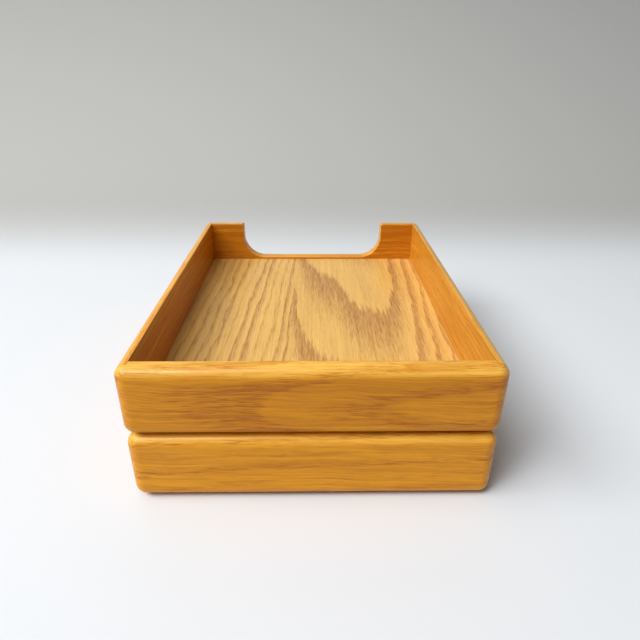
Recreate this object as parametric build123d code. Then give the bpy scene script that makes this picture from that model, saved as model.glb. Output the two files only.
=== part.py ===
"""Oak document tray standing on a matching open box.

Both units are built alike: thick front and back boards with the thin side boards let into their ends,
a floor panel held in a groove all round, and four rubber bumpers in the lower edges.
The tray's back board has a wide scoop for the hand. All lengths are in millimetres.
The origin lies under the middle of the box, on the surface that it stands on.
+X points right, +Y from the front to the back, and +Z up.
"""

import os

from build123d import *

# Room for paper inside each unit
inner_width = 240.0
inner_depth = 314.0
inner_height = 44.0

# Boards and floor panel
end_board_thickness = 12.0
side_board_thickness = 8.6
floor_thickness = 5.0
floor_recess = 3.5

# Rounded outside of a unit: the flat that the rounding leaves on top of the side boards,
# how much of that flat the sanded inner edge takes, and how much rounder the upright corners are
rim_flat = 0.6
rim_easing_share = 0.6
extra_corner_radius = 1.0

# Glued joints: how far the sides and the floor reach into the boards, and the floor's room to swell
lap_depth = 4.0
groove_depth = 4.0
floor_edge_gap = 0.5

# Scoop in the tray's back board
scoop_width = 164.0
scoop_sill = 2.5
scoop_corner_radius = 25.0
scoop_lip_radius = 2.5
scoop_easing = 1.0

# Rubber bumpers, strips pressed into sockets in the flat of the front and back boards' lower edges
bumper_length = 22.0
bumper_width = 3.0
bumper_stand = 2.0
bumper_edge_radius = 0.4
bumper_fit = 0.05
bumper_inset_from_side = 20.0
bumper_inset_from_inner_face = 2.1
socket_web = 1.0

# How far a cutting shape runs past what it cuts
cut_overrun = 5.0

# Sizes that follow from those above
outer_width = inner_width + 2 * side_board_thickness
outer_depth = inner_depth + 2 * end_board_thickness
board_height = floor_recess + floor_thickness + inner_height
unit_height = bumper_stand + board_height
shoulder_y = inner_depth / 2 + lap_depth
outer_edge_radius = side_board_thickness - rim_flat
outer_corner_radius = outer_edge_radius + extra_corner_radius
rim_easing = rim_flat * rim_easing_share
sill_height = floor_recess + floor_thickness + scoop_sill
socket_depth = floor_recess - socket_web


def slab(low, high):
    """Return a box between two opposite corners."""
    size = [top - bottom for bottom, top in zip(low, high)]
    return Pos(*low) * Box(*size, align=(Align.MIN, Align.MIN, Align.MIN))


def strip(x, y, low, high, margin):
    """Return a bumper's strip with round ends between two heights, larger all round by a margin."""
    outline = SlotOverall(bumper_length + 2 * margin, bumper_width + 2 * margin)
    return extrude(Pos(x, y, low) * outline, high - low)


def rounded_block():
    """Return the outside of a unit, with its lower edge at height zero."""
    block = slab(
        (-outer_width / 2, -outer_depth / 2, 0),
        (outer_width / 2, outer_depth / 2, board_height),
    )
    block = fillet(block.edges().filter_by(Axis.Z), outer_corner_radius)
    long_edges = block.edges().group_by(Axis.Z)[0] + block.edges().group_by(Axis.Z)[-1]
    return fillet(long_edges, outer_edge_radius)


def wall_ring():
    """Return the four walls of a unit in one piece, with the inner rim eased and the floor groove cut."""
    hollow = slab(
        (-inner_width / 2, -inner_depth / 2, -cut_overrun),
        (inner_width / 2, inner_depth / 2, board_height + cut_overrun),
    )
    ring = rounded_block() - hollow
    rim_face = ring.faces().sort_by(Axis.Z)[-1]
    ring = fillet(rim_face.inner_wires()[0].edges(), rim_easing)
    groove = slab(
        (-inner_width / 2 - groove_depth, -inner_depth / 2 - groove_depth, floor_recess),
        (inner_width / 2 + groove_depth, inner_depth / 2 + groove_depth, floor_recess + floor_thickness),
    )
    return ring - groove


def end_board_room(end):
    """Return the room of the front board (end -1) or the back board (end 1), less the sides' laps."""
    half_width = outer_width / 2 + cut_overrun
    top = board_height + cut_overrun
    outer_y = end * (outer_depth / 2 + cut_overrun)
    shoulder = end * shoulder_y
    inner_y = end * (inner_depth / 2 - cut_overrun)
    lip = slab(
        (-half_width, min(outer_y, shoulder), -cut_overrun),
        (half_width, max(outer_y, shoulder), top),
    )
    tongue = slab(
        (-inner_width / 2, min(inner_y, shoulder), -cut_overrun),
        (inner_width / 2, max(inner_y, shoulder), top),
    )
    return lip + tongue


def side_board_room(side):
    """Return the room of the left side board (side -1) or the right one (side 1)."""
    inner_x = side * inner_width / 2
    outer_x = side * (outer_width / 2 + cut_overrun)
    return slab(
        (min(inner_x, outer_x), -shoulder_y, -cut_overrun),
        (max(inner_x, outer_x), shoulder_y, board_height + cut_overrun),
    )


def bumper_places():
    """Return the name and the middle of each bumper, seen from above."""
    x = inner_width / 2 - bumper_inset_from_side
    y = inner_depth / 2 + bumper_inset_from_inner_face
    return {
        "front_left": (-x, -y),
        "front_right": (x, -y),
        "back_left": (-x, y),
        "back_right": (x, y),
    }


def sockets():
    """Return the cutting shapes for the bumpers' sockets."""
    return [strip(x, y, -cut_overrun, socket_depth, bumper_fit) for x, y in bumper_places().values()]


def bumper(x, y):
    """Return one bumper, a rubber strip with a softened lower edge, pushed home in its socket."""
    rubber = strip(x, y, -bumper_stand, socket_depth, 0)
    lower_edge = rubber.edges().group_by(Axis.Z)[0]
    return fillet(lower_edge, bumper_edge_radius)


def floor_panel():
    """Return the floor panel, which fills its groove but for a gap at each edge."""
    reach = groove_depth - floor_edge_gap
    return slab(
        (-inner_width / 2 - reach, -inner_depth / 2 - reach, floor_recess),
        (inner_width / 2 + reach, inner_depth / 2 + reach, floor_recess + floor_thickness),
    )


def scoop_outline():
    """Return the scooped back board's front view, with its lower edge on the X axis."""
    board = Pos(0, board_height / 2) * Rectangle(outer_width, board_height)
    opening = Pos(0, board_height) * Rectangle(scoop_width, 2 * (board_height - sill_height))
    outline = board - opening
    edge = scoop_width / 2
    lower_corners = outline.vertices().filter_by_position(Axis.X, -edge, edge).group_by(Axis.Y)[0]
    outline = fillet(lower_corners, scoop_corner_radius)
    lips = outline.vertices().filter_by_position(Axis.X, -edge, edge).group_by(Axis.Y)[-1]
    return fillet(lips, scoop_lip_radius)


def scooped_plate():
    """Return a plate as thick as the back board, with the scoop through it and the scoop's edges eased."""
    back_plane = Plane(origin=(0, outer_depth / 2, 0), x_dir=(1, 0, 0), z_dir=(0, -1, 0))
    plate = extrude(back_plane * scoop_outline(), end_board_thickness)
    reach = scoop_width / 2 + scoop_lip_radius
    sharp = plate.edges().filter_by(Axis.Y, reverse=True)
    sharp = sharp.filter_by_position(Axis.X, -reach, reach)
    sharp = sharp.filter_by_position(Axis.Z, sill_height, board_height)
    return fillet(sharp, scoop_easing)


def unit(name, with_scoop):
    """Return the pieces of one unit by name, with the boards' lower edge at height zero."""
    ring = wall_ring()
    front = ring & end_board_room(-1)
    back = ring & end_board_room(1)
    if with_scoop:
        back = back & scooped_plate()
    pieces = {
        f"{name}_front": front - sockets(),
        f"{name}_back": back - sockets(),
        f"{name}_left_side": ring & side_board_room(-1),
        f"{name}_right_side": ring & side_board_room(1),
        f"{name}_floor": floor_panel(),
    }
    for place, (x, y) in bumper_places().items():
        pieces[f"{name}_bumper_{place}"] = bumper(x, y)
    return pieces


def raised(pieces, height):
    """Return the pieces lifted by a height."""
    return {node: Pos(0, 0, height) * piece for node, piece in pieces.items()}


def main():
    """Write one file for each piece of the box and of the tray on top of it."""
    os.makedirs("parts", exist_ok=True)
    pieces = raised(unit("box", with_scoop=False), bumper_stand)
    pieces.update(raised(unit("tray", with_scoop=True), unit_height + bumper_stand))
    for node, piece in pieces.items():
        export_step(piece, f"parts/{node}.step")


main()
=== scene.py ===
"""Looks for an oak document tray that stands on a matching open box.

The boards and floor panels keep their CAD shapes and get oak with a figure of its own on each board,
the bumpers get rubber, and a pale sweep, soft light and a camera make the stage.
The script is laid out as an add-on: settings, one operator for each group of pieces, and a panel.
Lengths are in millimetres in the materials and in metres on the stage.
"""

import math
from collections import namedtuple

import bpy
from mathutils import Matrix, Vector


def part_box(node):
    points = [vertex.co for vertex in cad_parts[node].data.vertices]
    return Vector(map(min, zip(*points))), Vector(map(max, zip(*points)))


bl_info = {
    "name": "Oak document tray",
    "version": (1, 0, 0),
    "blender": (4, 5, 0),
    "location": "View3D > Sidebar > Oak tray",
    "description": "Finishes and stage for an oak document tray on its box",
    "category": "Object",
}

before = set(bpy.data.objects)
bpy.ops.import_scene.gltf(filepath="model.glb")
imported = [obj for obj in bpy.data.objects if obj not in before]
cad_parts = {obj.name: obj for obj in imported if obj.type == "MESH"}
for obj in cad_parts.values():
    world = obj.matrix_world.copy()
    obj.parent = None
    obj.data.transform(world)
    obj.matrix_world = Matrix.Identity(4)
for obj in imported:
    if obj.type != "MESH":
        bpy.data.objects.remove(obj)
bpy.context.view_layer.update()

MM_PER_METRE = 1000.0

# Inner faces of the boards, from the middle
INNER_X = 120.0
INNER_Y = 157.0

# Plane in which the sides' laps meet the front and back boards, from the middle
SHOULDER_Y = 161.0

# The scoop in the tray's back board: half its width, the height of its sill and its corner radius
SCOOP_HALF_WIDTH = 82.0
SCOOP_SILL = 67.5
SCOOP_RADIUS = 25.0

# Where the painted highlight on a board's rounded upper edge begins and where it is full, as heights from the
# board's top and as distances outwards from its inner face
EDGE_HIGHLIGHT_HEIGHTS = (-8.0, -2.0)
EDGE_HIGHLIGHT_DEPTHS = (-0.5, 0.8)

# Distances into the board from the scoop at which the painted highlight along it begins to fade and has ended
SCOOP_HIGHLIGHT_DEPTHS = (0.3, 1.2)

# The dark hairline of a glued joint: where it starts to fade and where it ends, and its strength
HAIRLINE = (0.1, 0.4)
JOINT_STRENGTH = 0.6

# The log that a board was cut from, in the board's own directions. The grain runs along the axis "along".
# The pith lies "height" above the middle of the board and "depth" off it, on the side of lower Y or X,
# and comes nearer by "slope" for each millimetre along the board. A growth ring is "ring" wide.
# "figure" is the strength of the rings, "plain" the tone of the wood between them from 0, pale, to 1, dark,
# "paling" how far the whole board takes the colours of the painted edge highlight, "edge" the strength
# of the painted highlight on its upper outer edge, and "seed" sets the irregularities.
Log = namedtuple("Log", "along height depth slope ring figure plain paling edge seed")

# The tray's left side has a darker plain tone, partly as painted shade, and the tray's right side a high
# highlight share as painted light. The box's weaker edge highlight paints the shade of the tray above it.
LOGS = {
    "tray_front": Log("X", -2.0, 27.7, 0.13, 14.0, 1.1, 0.40, 0.0, 0.95, 3.1),
    "tray_back": Log("X", -95.0, 30.0, 0.05, 9.0, 1.6, 0.76, 0.20, 0.95, 11.7),
    "tray_left_side": Log("Y", -90.0, 40.0, 0.05, 7.0, 0.5, 0.70, 0.0, 0.95, 17.3),
    "tray_right_side": Log("Y", -80.0, 36.0, 0.06, 7.0, 0.4, 0.58, 0.38, 0.95, 23.9),
    "box_front": Log("X", -60.0, 34.0, 0.10, 11.0, 0.8, 0.24, 0.03, 0.6, 31.3),
    "box_back": Log("X", -10.0, 40.0, 0.12, 13.0, 1.0, 0.38, 0.0, 0.6, 37.7),
    "box_left_side": Log("Y", -70.0, 46.0, 0.08, 7.0, 0.6, 0.48, 0.0, 0.6, 43.1),
    "box_right_side": Log("Y", -84.0, 42.0, 0.05, 7.0, 0.6, 0.44, 0.0, 0.6, 47.9),
}

# Colours of an oak, the tone of its plain wood, the strength of each part of its figure,
# how fine its fibres are, and how ragged its rings are as a share of their width
Look = namedtuple("Look", "pale dark plain band dash fibre cloud pore fineness ragged")

# Strength of the ring bands and of the dashes in them on a board whose figure is 1
BOARD_BAND = 0.24
BOARD_DASH = 0.54

# How far the fibres of a board climb for each millimetre along it, and how far they wave
FIBRE_TILT = 0.025
FIBRE_WAVE = 10.0

# How far the rings sway and bend
BOARD_SWAY = 12.0
BOARD_BEND = 8.0
VENEER_SWAY = 12.0

# Size of the noises in oak along, across and through the wood
BOARD_SWAY_GRAIN = (80.0, 30.0, 30.0)
BOARD_BEND_GRAIN = (45.0, 10.0, 10.0)
FIBRE_WAVE_GRAIN = (60.0, 45.0, 45.0)
VENEER_SWAY_GRAIN = (30.0, 110.0, 110.0)
RAGGED_GRAIN = (26.0, 2.6, 2.6)
DASH_GRAIN = (14.0, 0.9, 0.9)
PORE_GRAIN = (12.0, 0.7, 0.7)
CLOUD_GRAIN = (90.0, 22.0, 22.0)
FIBRE_LENGTH = 90.0

# Seeds of those noises, counted from the seed of the log or veneer
BEND_SEED = 5.0
RAGGED_SEED = 9.0
FIBRE_SEED = 13.0
DASH_SEED = 21.0
PORE_SEED = 25.0
CLOUD_SEED = 29.0
WAVE_SEED = 41.0

# Seed of the rings' strengths, chosen so that the flame and the tongue of the tray's floor are strong rings
YEAR_SEED = 74.0

# Levels of noise at which dashes and pores begin and are full, and their share outside the early wood
DASH_LEVELS = (0.48, 0.66)
PORE_LEVELS = (0.57, 0.65)
STRAY_DASHES = 0.2
STRAY_PORES = 0.4

# The early wood in a ring, as shares of the ring's width: where it has set in fully, where it begins to fade,
# where it ends in the weakest year, and how much farther on it ends in the strongest
EARLY_FULL = 0.12
EARLY_FADING = 0.08
EARLY_END = 0.40
EARLY_END_SPREAD = 0.45

# Strength of the early wood in the weakest year, and how much stronger it is in the strongest
YEAR_STRENGTH = 0.45
YEAR_STRENGTH_SPREAD = 0.85

# Roughness of the wood, and what its pores and fibres add to it
WOOD_ROUGHNESS = 0.34
PORE_ROUGHNESS = 0.2
FIBRE_ROUGHNESS = 0.1

# Rubber: its specks, how much paler they are, and its roughness without them and with them
RUBBER_GRAIN = (0.4, 0.4, 0.4)
RUBBER_SEED = 1.0
RUBBER_PALING = 2.2
RUBBER_ROUGHNESS = 0.6
RUBBER_ROUGHNESS_SPREAD = 0.3

# Where the sweep turns to the painted shade of the wall's grey, measured back and up, and to the painted
# shade of the near grey, measured forwards
WALL_SHADE_PLACES = (280.0, 640.0)
NEAR_SHADE_PLACES = (250.0, 700.0)

# Point at which the lights aim
LIGHT_TARGET = (0.0, 0.0, 0.05)


class Field:
    """A socket of a material's node tree, so that shader maths can be written as plain expressions."""

    def __init__(self, tree, socket):
        self.tree = tree
        self.socket = socket

    def node(self, kind, settings=None, sockets=None, output=0):
        """Add a node, make its settings first, fill or link its sockets, and return one of its outputs."""
        made = self.tree.nodes.new(kind)
        for name, value in (settings or {}).items():
            setattr(made, name, value)
        for key, value in (sockets or {}).items():
            fill(self.tree, made.inputs[key], value)
        return Field(self.tree, made.outputs[output])

    def math(self, operation, *values):
        """Add a Math node."""
        return self.node("ShaderNodeMath", {"operation": operation}, dict(enumerate(values)))

    def __add__(self, other):
        return self.math("ADD", self, other)

    def __radd__(self, other):
        return self.math("ADD", other, self)

    def __sub__(self, other):
        return self.math("SUBTRACT", self, other)

    def __rsub__(self, other):
        return self.math("SUBTRACT", other, self)

    def __mul__(self, other):
        return self.math("MULTIPLY", self, other)

    def __rmul__(self, other):
        return self.math("MULTIPLY", other, self)

    def __truediv__(self, other):
        return self.math("DIVIDE", self, other)

    def __rtruediv__(self, other):
        return self.math("DIVIDE", other, self)

    def __pow__(self, other):
        return self.math("POWER", self, other)

    def __neg__(self):
        return self.math("MULTIPLY", self, -1.0)

    def whole(self):
        """The whole number at or below the value."""
        return self.math("FLOOR", self)

    def fraction(self):
        """What is left of the value past a whole number."""
        return self.math("FRACT", self)

    def size(self):
        """The value without its sign."""
        return self.math("ABSOLUTE", self)

    def larger(self, other):
        """The larger of the value and another."""
        return self.math("MAXIMUM", self, other)

    def settling(self, reach):
        """Rise from 0 at zero and level off at 1, most of the way after one reach."""
        return 1.0 - self.math("EXPONENT", self / -reach)

    def eased(self, low, high):
        """The value as a share from 0 at low to 1 at high, easing in and out."""
        settings = {"interpolation_type": "SMOOTHSTEP"}
        sockets = {"Value": self, "From Min": low, "From Max": high, "To Min": 0.0, "To Max": 1.0}
        return self.node("ShaderNodeMapRange", settings, sockets)

    def between(self, colour_at_0, colour_at_1):
        """Mix two colours by this value."""
        settings = {"data_type": "RGBA", "clamp_factor": True}
        return self.node("ShaderNodeMix", settings, {0: self, 6: colour_at_0, 7: colour_at_1}, output=2)


def fill(tree, socket, value):
    """Link a socket to a field, or set its value; a colour of three numbers gets its alpha."""
    if isinstance(value, Field):
        tree.links.new(value.socket, socket)
        return
    if socket.type == "RGBA" and len(value) == 3:
        value = (*value, 1.0)
    socket.default_value = value


def new_material(name):
    """Return a new material, its main shader and its object coordinates in millimetres as three fields."""
    material = bpy.data.materials.new(name)
    material.use_nodes = True
    tree = material.node_tree
    shader = tree.nodes["Principled BSDF"]
    coordinates = tree.nodes.new("ShaderNodeTexCoord")
    point = Field(tree, coordinates.outputs["Object"])
    settings = {"operation": "SCALE"}
    point = point.node("ShaderNodeVectorMath", settings, {0: point, "Scale": MM_PER_METRE})
    axes = [point.node("ShaderNodeSeparateXYZ", None, {0: point}, output=i) for i in range(3)]
    return material, shader, axes


def noise(along, across, through, seed, grain, detail=2.0, roughness=0.5):
    """Noise from 0 to 1 whose size is given for the three directions of a board."""
    cells = [direction / size for direction, size in zip((along, across, through), grain)]
    point = along.node("ShaderNodeCombineXYZ", None, dict(enumerate(cells)))
    settings = {"noise_dimensions": "4D"}
    sockets = {"Vector": point, "W": seed, "Scale": 1.0, "Detail": detail, "Roughness": roughness}
    return along.node("ShaderNodeTexNoise", settings, sockets)


def ripple(along, across, through, seed, grain, detail=2.0, roughness=0.5):
    """The same noise about 0, from -0.5 to 0.5."""
    return noise(along, across, through, seed, grain, detail, roughness) - 0.5


def distance(side, other_side):
    """Length of the line across two sides at right angles."""
    return (side * side + other_side * other_side) ** 0.5


def board_rings(along, across, through, log):
    """Count of growth rings at a point of a board that was cut from a log."""
    sway = ripple(along, across, through, log.seed, BOARD_SWAY_GRAIN, detail=1.0)
    bend = ripple(along, across, through, log.seed + BEND_SEED, BOARD_BEND_GRAIN)
    depth = log.depth - along * log.slope + through + sway * BOARD_SWAY
    height = across - log.height + bend * BOARD_BEND
    return distance(depth, height) / log.ring


def veneer_rings(x, y, seed):
    """Count of growth rings at a point of a flat-sawn veneer.

    Its figure is a flame left of the middle and a tongue right of it. The rings are counted from the ridge
    of the flame, which climbs towards the front, and fall off to both sides of it.
    """
    ridge_x, first_ring_y, ridge_climb = -20.0, 89.0, 0.0054
    flank_drop, left_flank, right_flank = 0.75, 10.0, 9.0
    left_slope, right_slope = 0.105, 0.004
    tongue_start, tongue_end, tongue_drop = 42.0, 64.0, 0.3
    edge_x, edge_slope, edge_curve = 68.0, 0.010, 0.001
    x = x + ripple(x, y, y, seed, VENEER_SWAY_GRAIN) * VENEER_SWAY
    left = (ridge_x - x).larger(0.0)
    right = (x - ridge_x).larger(0.0)
    edge = (x - edge_x).larger(0.0)
    ridge = 1.0 + (first_ring_y - y) * ridge_climb
    fall_left = left.settling(left_flank) * flank_drop + left * left_slope
    fall_right = right.settling(right_flank) * flank_drop + right * right_slope
    fall_right = fall_right + right.eased(tongue_start, tongue_end) * tongue_drop
    rise_edge = edge * edge_slope + edge * edge * edge_curve
    return ridge - fall_left - fall_right + rise_edge


def oak(rings, along, across, through, seed, look):
    """Return the colour of oak, its pores from 0 to 1 and its fibres about 0.

    They follow from the count of its rings and from the directions of its grain.
    """
    finish = bpy.context.scene.oak_finish
    point = (along, across, through)
    fibre_grain = (FIBRE_LENGTH, look.fineness, look.fineness)
    rings = rings + ripple(*point, seed + RAGGED_SEED, RAGGED_GRAIN) * look.ragged
    phase = rings.fraction()
    year_number = rings.whole() + (seed + YEAR_SEED)
    year = rings.node("ShaderNodeTexWhiteNoise", {"noise_dimensions": "1D"}, {"W": year_number})
    late_wood = phase.eased(EARLY_FADING, EARLY_END + year * EARLY_END_SPREAD)
    strength = YEAR_STRENGTH + year * YEAR_STRENGTH_SPREAD
    early = phase.eased(0.0, EARLY_FULL) * (1.0 - late_wood) * strength
    fibre = ripple(*point, seed + FIBRE_SEED, fibre_grain, detail=4.0, roughness=0.7)
    dashes = noise(*point, seed + DASH_SEED, DASH_GRAIN).eased(*DASH_LEVELS)
    specks = noise(*point, seed + PORE_SEED, PORE_GRAIN, detail=1.0).eased(*PORE_LEVELS)
    cloud = ripple(*point, seed + CLOUD_SEED, CLOUD_GRAIN, detail=1.0)
    band = early * (look.band + look.dash * dashes) + dashes * look.dash * STRAY_DASHES
    tone = look.plain + band + fibre * look.fibre + cloud * look.cloud
    pores = specks * (STRAY_PORES + early * (1.0 - STRAY_PORES))
    wood = tone.between(look.pale, look.dark)
    wood = (pores * look.pore).between(wood, finish.pore_colour)
    return wood, pores, fibre


def varnish(material, shader, wood, pores, fibre):
    """Put the colour of the wood under a satin varnish that sinks into the pores."""
    finish = bpy.context.scene.oak_finish
    bump = {"Strength": 0.25, "Distance": 0.0002, "Height": 1.0 - pores}
    normal = wood.node("ShaderNodeBump", None, bump)
    roughness = WOOD_ROUGHNESS + pores * PORE_ROUGHNESS + fibre * FIBRE_ROUGHNESS
    tree = material.node_tree
    fill(tree, shader.inputs["Base Color"], wood)
    fill(tree, shader.inputs["Roughness"], roughness)
    fill(tree, shader.inputs["Normal"], normal)
    shader.inputs["Specular IOR Level"].default_value = 0.02
    shader.inputs["Coat Weight"].default_value = finish.varnish
    shader.inputs["Coat Roughness"].default_value = finish.varnish_roughness


def edge_highlight(x, y, z, top, log):
    """Share from 0 to 1 by which a board takes the colours of a painted highlight, most of all on its rounded
    upper outer edge.
    """
    outward = y.size() - INNER_Y if log.along == "X" else x.size() - INNER_X
    edge = (z - top).eased(*EDGE_HIGHLIGHT_HEIGHTS) * outward.eased(*EDGE_HIGHLIGHT_DEPTHS) * log.edge
    return edge.larger(log.paling)


def scoop_highlight(x, z):
    """Share from 0 to 1 of painted highlight, 1 along the edge of the back board's scoop and 0 farther into
    the board.
    """
    past_corner = (x.size() - (SCOOP_HALF_WIDTH - SCOOP_RADIUS)).larger(0.0)
    below_corner = (SCOOP_SILL + SCOOP_RADIUS - z).larger(0.0)
    into_board = distance(past_corner, below_corner) - SCOOP_RADIUS
    return 1.0 - into_board.eased(*SCOOP_HIGHLIGHT_DEPTHS)


def joint_line(x, y, log):
    """Hairline, 1 on the glued joint of a lap and 0 away from it."""
    beyond_shoulder = y.size() - SHOULDER_Y
    if log.along == "X":
        beyond_shoulder = beyond_shoulder.larger(INNER_X - x.size())
    return 1.0 - beyond_shoulder.size().eased(*HAIRLINE)


def board_oak(node):
    """Return the oak of one board, cut from its own log."""
    finish = bpy.context.scene.oak_finish
    log = LOGS[node]
    low, high = (corner * MM_PER_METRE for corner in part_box(node))
    middle = (low + high) / 2
    material, shader, (x, y, z) = new_material("oak_" + node)
    across = z - middle.z
    if log.along == "X":
        along, through = x, y - middle.y
    else:
        along, through = y, x - middle.x
    rings = board_rings(along, across, through, log)
    wave = ripple(along, across, through, log.seed + WAVE_SEED, FIBRE_WAVE_GRAIN, detail=1.0)
    fibre_line = across + along * FIBRE_TILT + wave * FIBRE_WAVE
    # Painted highlight: the rounded upper edge, and on the back board the edge of the scoop, take paler
    # colours.
    paling = edge_highlight(x, y, z, high.z, log)
    if node == "tray_back":
        paling = paling.larger(scoop_highlight(x, z) * log.edge)
    look = Look(
        pale=paling.between(finish.board_pale, finish.highlight_pale),
        dark=paling.between(finish.board_dark, finish.highlight_dark),
        plain=log.plain,
        band=BOARD_BAND * log.figure,
        dash=BOARD_DASH * log.figure,
        fibre=2.0,
        cloud=0.5,
        pore=0.54,
        fineness=1.8,
        ragged=0.22,
    )
    wood, pores, fibre = oak(rings, along, fibre_line, through, log.seed, look)
    wood = (joint_line(x, y, log) * JOINT_STRENGTH).between(wood, finish.pore_colour)
    varnish(material, shader, wood, pores, fibre)
    return material


def veneer_oak(node, seed, turned):
    """Return the oak veneer of one floor panel; a turned panel has its figure the other way round."""
    finish = bpy.context.scene.oak_finish
    material, shader, (x, y, z) = new_material("oak_" + node)
    if turned:
        x, y = -x, -y
    look = Look(
        pale=finish.veneer_pale,
        dark=finish.veneer_dark,
        plain=0.20,
        band=0.42,
        dash=0.42,
        fibre=1.2,
        cloud=0.3,
        pore=0.4,
        fineness=1.3,
        ragged=0.36,
    )
    wood, pores, fibre = oak(veneer_rings(x, y, seed), y, x, z, seed, look)
    varnish(material, shader, wood, pores, fibre)
    return material


def rubber():
    """Return the material of the bumpers: dull rubber with paler specks."""
    material, shader, (x, y, z) = new_material("rubber")
    speckle = noise(x, y, z, RUBBER_SEED, RUBBER_GRAIN)
    colour = bpy.context.scene.bumper_finish.colour
    worn = [channel * RUBBER_PALING for channel in colour]
    tree = material.node_tree
    fill(tree, shader.inputs["Base Color"], speckle.between(colour, worn))
    fill(tree, shader.inputs["Roughness"], RUBBER_ROUGHNESS + speckle * RUBBER_ROUGHNESS_SPREAD)
    return material


def sweep_paper():
    """Return the sweep's material: matt paper with painted shade, greyer up the wall and well in front of the
    object.
    """
    stage = bpy.context.scene.tray_stage
    material, shader, (_, y, z) = new_material("sweep_paper")
    colour = (y + z).eased(*WALL_SHADE_PLACES).between(stage.floor_colour, stage.shaded_wall_colour)
    colour = (-y).eased(*NEAR_SHADE_PLACES).between(colour, stage.near_shade_colour)
    fill(material.node_tree, shader.inputs["Base Color"], colour)
    shader.inputs["Roughness"].default_value = 0.9
    shader.inputs["Specular IOR Level"].default_value = 0.1
    return material


def put_on(node, material):
    """Give a CAD node a material."""
    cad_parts[node].material_slots[0].material = material


class OakFinish(bpy.types.PropertyGroup):
    """Colours and varnish of the oak."""

    board_pale: bpy.props.FloatVectorProperty(
        name="Board, pale wood", description="Late wood of the boards", subtype="COLOR",
        size=3, min=0.0, max=1.0, default=(0.82, 0.335, 0.004),
    )
    board_dark: bpy.props.FloatVectorProperty(
        name="Board, dark wood", description="Early wood of the boards", subtype="COLOR",
        size=3, min=0.0, max=1.0, default=(0.45, 0.130, 0.002),
    )
    veneer_pale: bpy.props.FloatVectorProperty(
        name="Veneer, pale wood", description="Late wood of the floor panels", subtype="COLOR",
        size=3, min=0.0, max=1.0, default=(0.86, 0.525, 0.145),
    )
    veneer_dark: bpy.props.FloatVectorProperty(
        name="Veneer, dark wood", description="Early wood of the floor panels", subtype="COLOR",
        size=3, min=0.0, max=1.0, default=(0.45, 0.215, 0.062),
    )
    pore_colour: bpy.props.FloatVectorProperty(
        name="Pores", description="Varnish that has darkened in the pores", subtype="COLOR",
        size=3, min=0.0, max=1.0, default=(0.36, 0.115, 0.010),
    )
    # Colours of the painted highlight on the rounded edges; a board's highlight share spreads them over its
    # whole face.
    highlight_pale: bpy.props.FloatVectorProperty(
        name="Sanded edge, pale wood", description="Late wood of the edges that are sanded round",
        subtype="COLOR", size=3, min=0.0, max=1.0, default=(1.0, 0.60, 0.115),
    )
    highlight_dark: bpy.props.FloatVectorProperty(
        name="Sanded edge, dark wood", description="Early wood of the edges that are sanded round",
        subtype="COLOR", size=3, min=0.0, max=1.0, default=(0.68, 0.29, 0.030),
    )
    varnish: bpy.props.FloatProperty(
        name="Varnish", description="Weight of the varnish over the wood", subtype="FACTOR",
        min=0.0, max=1.0, default=0.50,
    )
    varnish_roughness: bpy.props.FloatProperty(
        name="Varnish roughness", description="Satin of the varnish", subtype="FACTOR",
        min=0.0, max=1.0, default=0.24,
    )


class BumperFinish(bpy.types.PropertyGroup):
    """Colour of the rubber bumpers."""

    colour: bpy.props.FloatVectorProperty(
        name="Rubber", description="Colour of the bumpers", subtype="COLOR",
        size=3, min=0.0, max=1.0, default=(0.030, 0.027, 0.025),
    )


class StageSettings(bpy.types.PropertyGroup):
    """Sweep and lights."""

    floor_colour: bpy.props.FloatVectorProperty(
        name="Floor", description="Colour of the floor", subtype="COLOR",
        size=3, min=0.0, max=1.0, default=(0.755, 0.785, 0.815),
    )
    # Painted shade: the floor well in front of the object is grey, which cuts the light it bounces onto the
    # fronts.
    near_shade_colour: bpy.props.FloatVectorProperty(
        name="Near floor", description="Colour of the floor well in front of the object", subtype="COLOR",
        size=3, min=0.0, max=1.0, default=(0.42, 0.43, 0.45),
    )
    # Painted shade: the sweep's upright part is grey where less light reaches up the wall; the backdrop past
    # the sweep shows the same grey.
    shaded_wall_colour: bpy.props.FloatVectorProperty(
        name="Wall", description="Colour of the sweep's upright part and of the backdrop past it",
        subtype="COLOR", size=3, min=0.0, max=1.0, default=(0.48, 0.48, 0.46),
    )
    key_power: bpy.props.FloatProperty(
        name="Key light", description="Power of the light on the left", unit="POWER",
        min=0.0, default=270.0,
    )
    window_power: bpy.props.FloatProperty(
        name="Window light", description="Power of the small light that glints on edges", unit="POWER",
        min=0.0, default=13.0,
    )
    top_power: bpy.props.FloatProperty(
        name="Top light", description="Power of the light overhead", unit="POWER",
        min=0.0, default=2.6,
    )
    ambient: bpy.props.FloatProperty(
        name="Ambient", description="Strength of the light from all round", subtype="FACTOR",
        min=0.0, max=1.0, default=0.145,
    )
    ambient_colour: bpy.props.FloatVectorProperty(
        name="Ambient colour", description="Colour of the light from all round", subtype="COLOR",
        size=3, min=0.0, max=1.0, default=(0.94, 0.97, 1.0),
    )


def deselect_all():
    """Leave nothing selected, so that an operator acts on new objects alone."""
    bpy.ops.object.select_all(action="DESELECT")


def select_edge_at(mesh, place):
    """Select the vertices at a place along Y, in edit mode with vertices as what is selected."""
    tolerance = 1e-6
    bpy.ops.mesh.select_all(action="DESELECT")
    bpy.ops.object.mode_set(mode="OBJECT")
    for vertex in mesh.vertices:
        vertex.select = abs(vertex.co.y - place) < tolerance
    bpy.ops.object.mode_set(mode="EDIT")


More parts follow.
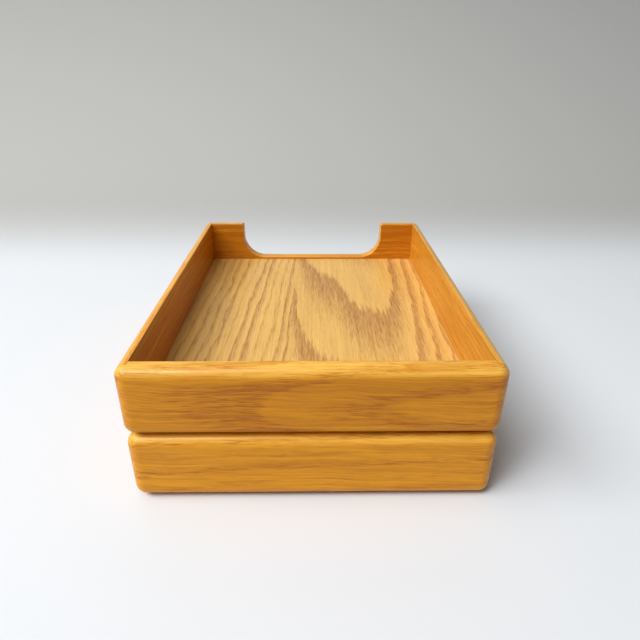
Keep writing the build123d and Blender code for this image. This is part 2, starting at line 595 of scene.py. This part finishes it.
def add_sweep():
    """Add the floor, which curves up into a wall behind the object."""
    half, bend_y, bend_radius, bend_steps, wall_height = 3.0, 0.45, 0.45, 32, 1.5
    bend_middle = (0, bend_y, bend_radius)
    deselect_all()
    bpy.ops.mesh.primitive_plane_add(size=2 * half, location=(0, bend_y - half, 0))
    sweep = bpy.context.object
    sweep.name = "sweep"
    bpy.ops.object.transform_apply(location=True, rotation=False, scale=False)
    bpy.ops.object.mode_set(mode="EDIT")
    bpy.ops.mesh.select_mode(type="VERT")
    select_edge_at(sweep.data, bend_y)
    bpy.ops.mesh.spin(steps=bend_steps, angle=math.pi / 2, center=bend_middle, axis=(-1, 0, 0))
    bpy.ops.mesh.extrude_region_move(TRANSFORM_OT_translate={"value": (0, 0, wall_height)})
    bpy.ops.mesh.select_all(action="SELECT")
    bpy.ops.mesh.normals_make_consistent(inside=False)
    bpy.ops.object.mode_set(mode="OBJECT")
    bpy.ops.object.shade_smooth()
    return sweep


def add_softbox(name, location, width, height, power):
    """Add a rectangular soft light that faces the lights' target."""
    direction = Vector(LIGHT_TARGET) - Vector(location)
    turn = direction.to_track_quat("-Z", "Y").to_euler()
    deselect_all()
    bpy.ops.object.light_add(type="AREA", location=location, rotation=turn)
    lamp = bpy.context.object
    lamp.name = name
    lamp.data.shape = "RECTANGLE"
    lamp.data.size = width
    lamp.data.size_y = height
    lamp.data.energy = power


def add_camera():
    """Add the camera at the photograph's viewing angle."""
    place = (-0.0007, -0.4459, 0.28405)
    pitch, yaw, roll = 0.46615, 0.01754, 0.006044
    focal_length, sensor = 29.08, 36.0
    turn = Matrix.Rotation(-yaw, 4, "Z") @ Matrix.Rotation(math.pi / 2 - pitch, 4, "X")
    turn = turn @ Matrix.Rotation(roll, 4, "Z")
    deselect_all()
    bpy.ops.object.camera_add(location=place, rotation=turn.to_euler())
    camera = bpy.context.object
    camera.name = "camera"
    camera.data.lens = focal_length
    camera.data.sensor_width = sensor
    camera.data.clip_start = 0.01
    bpy.context.scene.camera = camera


def set_world(stage):
    """Light the scene evenly from all round, and show a pale backdrop past the edges of the sweep."""
    world = bpy.data.worlds.new("studio")
    world.use_nodes = True
    tree = world.node_tree
    path = tree.nodes.new("ShaderNodeLightPath")
    seen = Field(tree, path.outputs["Is Camera Ray"])
    mirrored = Field(tree, path.outputs["Is Glossy Ray"])
    light = [channel * stage.ambient for channel in stage.ambient_colour]
    colour = seen.larger(mirrored).between(light, stage.shaded_wall_colour)
    fill(tree, tree.nodes["Background"].inputs["Color"], colour)
    bpy.context.scene.world = world


class TRAY_OT_oak_boards(bpy.types.Operator):
    """Put oak on the front, back and side boards"""

    bl_idname = "tray.oak_boards"
    bl_label = "Oak boards"

    def execute(self, context):
        for node in LOGS:
            put_on(node, board_oak(node))
        return {"FINISHED"}


class TRAY_OT_oak_floors(bpy.types.Operator):
    """Put oak veneer on the floor panels"""

    bl_idname = "tray.oak_floors"
    bl_label = "Oak floors"

    def execute(self, context):
        put_on("tray_floor", veneer_oak("tray_floor", seed=53.3, turned=False))
        put_on("box_floor", veneer_oak("box_floor", seed=59.9, turned=True))
        return {"FINISHED"}


class TRAY_OT_rubber_bumpers(bpy.types.Operator):
    """Put rubber on the bumpers"""

    bl_idname = "tray.rubber_bumpers"
    bl_label = "Rubber bumpers"

    def execute(self, context):
        material = rubber()
        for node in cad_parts:
            if "bumper" in node:
                put_on(node, material)
        return {"FINISHED"}


class TRAY_OT_stage(bpy.types.Operator):
    """Set up the sweep, the lights and the camera"""

    bl_idname = "tray.stage"
    bl_label = "Stage"

    def execute(self, context):
        stage = context.scene.tray_stage
        sweep = add_sweep()
        sweep.data.materials.append(sweep_paper())
        add_softbox("key_light", (-3.8, -1.55, 4.0), width=4.4, height=2.2, power=stage.key_power)
        add_softbox("window_light", (-0.66, -0.90, 1.70), width=0.7, height=0.55, power=stage.window_power)
        add_softbox("top_light", (-0.25, -0.12, 1.35), width=1.0, height=0.4, power=stage.top_power)
        set_world(stage)
        add_camera()
        context.scene.view_settings.view_transform = "Standard"
        return {"FINISHED"}


class TRAY_PT_panel(bpy.types.Panel):
    """Panel that lists the settings and the steps"""

    bl_idname = "TRAY_PT_panel"
    bl_label = "Oak tray"
    bl_space_type = "VIEW_3D"
    bl_region_type = "UI"
    bl_category = "Oak tray"

    def draw(self, context):
        for group in GROUPS:
            settings = getattr(context.scene, group)
            for name in settings.__annotations__:
                self.layout.prop(settings, name)
        for step in STEPS:
            self.layout.operator(step.bl_idname)


STEPS = (TRAY_OT_oak_boards, TRAY_OT_oak_floors, TRAY_OT_rubber_bumpers, TRAY_OT_stage)
GROUPS = {"oak_finish": OakFinish, "bumper_finish": BumperFinish, "tray_stage": StageSettings}


def register():
    """Register the settings, the operators and the panel."""
    for name, group in GROUPS.items():
        bpy.utils.register_class(group)
        setattr(bpy.types.Scene, name, bpy.props.PointerProperty(type=group))
    for cls in (*STEPS, TRAY_PT_panel):
        bpy.utils.register_class(cls)


def unregister():
    """Take back what register did."""
    for cls in (TRAY_PT_panel, *reversed(STEPS)):
        bpy.utils.unregister_class(cls)
    for name, group in GROUPS.items():
        delattr(bpy.types.Scene, name)
        bpy.utils.unregister_class(group)


def main():
    """Dress the part and set the stage."""
    register()
    bpy.ops.tray.oak_boards()
    bpy.ops.tray.oak_floors()
    bpy.ops.tray.rubber_bumpers()
    bpy.ops.tray.stage()


if __name__ == "__main__":
    main()
